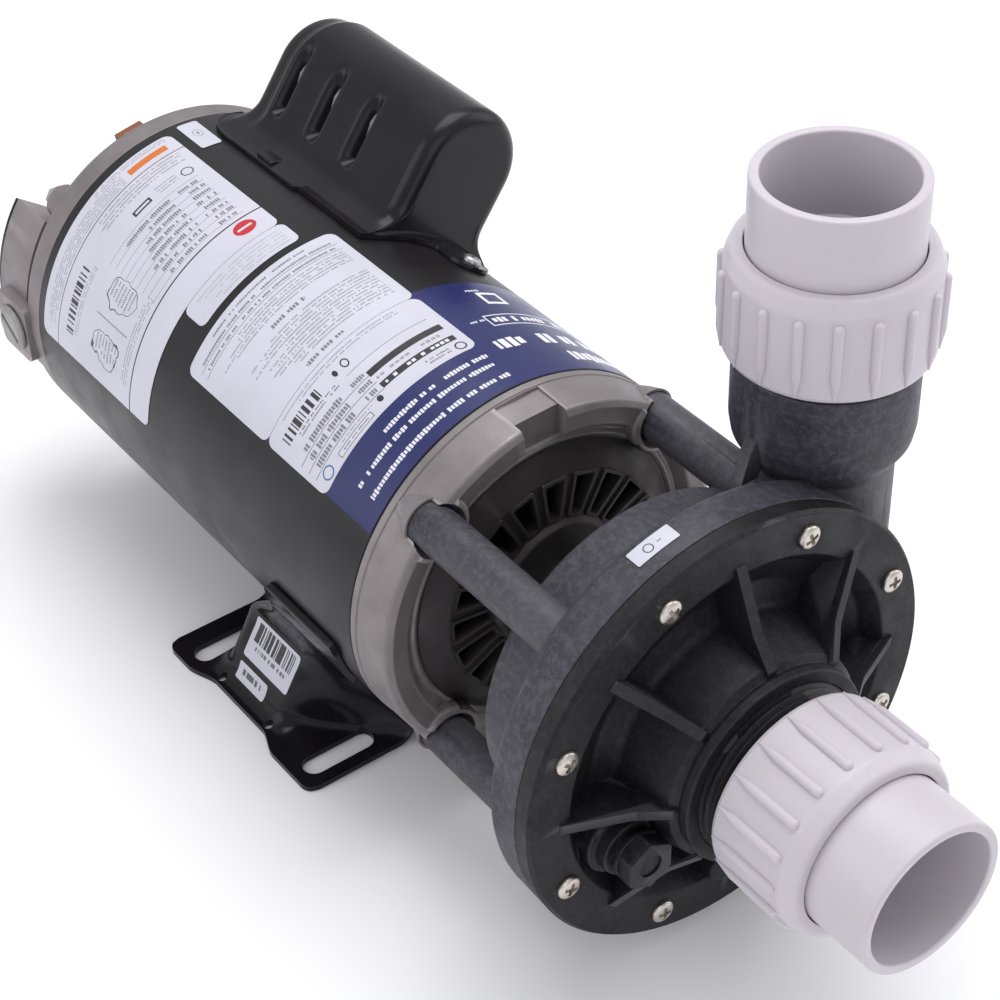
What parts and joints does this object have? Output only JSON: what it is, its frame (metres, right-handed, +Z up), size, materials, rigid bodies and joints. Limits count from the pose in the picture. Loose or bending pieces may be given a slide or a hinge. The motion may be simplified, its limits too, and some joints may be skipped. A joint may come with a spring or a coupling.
{
  "type": "pool pump",
  "caption": "Close-coupled spa and pool pump: black motor with a capacitor can on a slotted base, a plastic wet end and white union fittings on its suction and discharge.",
  "frame": {"origin": "on the floor under the middle of the part's box; the shaft line is 10.5 mm towards -Y and 88.9 mm up", "axes": "+X along the shaft towards the suction port, +Z up, the discharge port stands on the +Y side"},
  "size_m": [0.461, 0.1851, 0.2537],
  "materials": {
    "black_paint": "semi-gloss black enamel",
    "cast_aluminium": "as cast, slightly warm grey",
    "black_plastic": "glass-filled, speckled, semi-matte",
    "grey_plastic": "moulded, semi-matte",
    "white_pvc": "moulded, slightly translucent, satin",
    "stainless": "bright, turned",
    "steel": "zinc plated",
    "lamination": "stacked edges",
    "copper": "enamelled copper",
    "brown_board": "phenolic board",
    "rubber": "moulded",
    "ceramic": "lapped",
    "label": "printed film with a clear coat"
  },
  "bodies": {
    "pump": {"motor_shell": "black_paint", "terminal_cover": "black_paint", "capacitor_cover": "black_paint", "base": "black_paint", "rear_end_bell": "cast_aluminium", "front_end_bell": "cast_aluminium", "wet_end_bracket": "black_plastic", "suction_cover": "black_plastic", "run_capacitor": "grey_plastic", "wear_ring": "grey_plastic", "suction_tailpiece": "white_pvc", "discharge_tailpiece": "white_pvc", "cover_screw_1": "stainless", "cover_screw_2": "stainless", "cover_screw_3": "stainless", "cover_screw_4": "stainless", "cover_screw_5": "stainless", "cover_screw_6": "stainless", "cover_screw_7": "stainless", "cover_screw_8": "stainless", "terminal_cover_screw_1": "steel", "terminal_cover_screw_2": "steel", "capacitor_cover_screw_1": "steel", "capacitor_cover_screw_2": "steel", "through_bolt_1": "steel", "through_bolt_2": "steel", "through_bolt_3": "steel", "through_bolt_4": "steel", "rear_bearing_outer_race": "steel", "front_bearing_outer_race": "steel", "stator_core": "lamination", "winding_rear": "copper", "winding_front": "copper", "bonding_lug": "copper", "terminal_board": "brown_board", "start_switch": "brown_board", "cover_o_ring": "rubber", "suction_o_ring": "rubber", "discharge_o_ring": "rubber", "seal_seat": "ceramic"},
    "rotor": {"shaft": "steel", "rotor_core": "lamination", "rear_bearing_inner_race": "steel", "front_bearing_inner_race": "steel", "cooling_fan": "grey_plastic", "governor_hub": "steel", "water_slinger": "rubber", "seal_head": "rubber", "impeller": "grey_plastic"},
    "governor": {"governor_collar": "brown_board"},
    "suction_nut": {"suction_union_nut": "white_pvc"},
    "discharge_nut": {"discharge_union_nut": "white_pvc"},
    "drain_plug": {"drain_plug": "black_plastic", "drain_o_ring": "rubber"},
    "conduit_plug": {"conduit_plug": "grey_plastic"}
  },
  "joints": [
    {"name": "rotor_spin", "type": "hinge", "parent": "pump", "child": "rotor", "pos_m": [0, -0.0105, 0.0889], "axis": [1, 0, 0], "continuous": true},
    {"name": "governor_travel", "type": "slide", "parent": "rotor", "child": "governor", "axis": [1, 0, 0], "range_m": [0, 0.003], "stiffness_N_per_m": 500},
    {"name": "suction_nut_turn", "type": "hinge", "parent": "pump", "child": "suction_nut", "pos_m": [0.192, -0.0105, 0.0889], "axis": [1, 0, 0], "range_deg": [0, 1170]},
    {"name": "discharge_nut_turn", "type": "hinge", "parent": "pump", "child": "discharge_nut", "pos_m": [0.1045, 0.0557, 0.215], "axis": [0, 0, 1], "range_deg": [0, 1170]},
    {"name": "drain_plug_turn", "type": "hinge", "parent": "pump", "child": "drain_plug", "pos_m": [0.15, -0.05648, 0.07004], "axis": [1, 0, 0], "range_deg": [0, 1890]},
    {"name": "conduit_plug_turn", "type": "hinge", "parent": "pump", "child": "conduit_plug", "pos_m": [-0.2085, -0.085, 0.0859], "axis": [0, -1, 0], "range_deg": [0, 1530]}
  ]
}
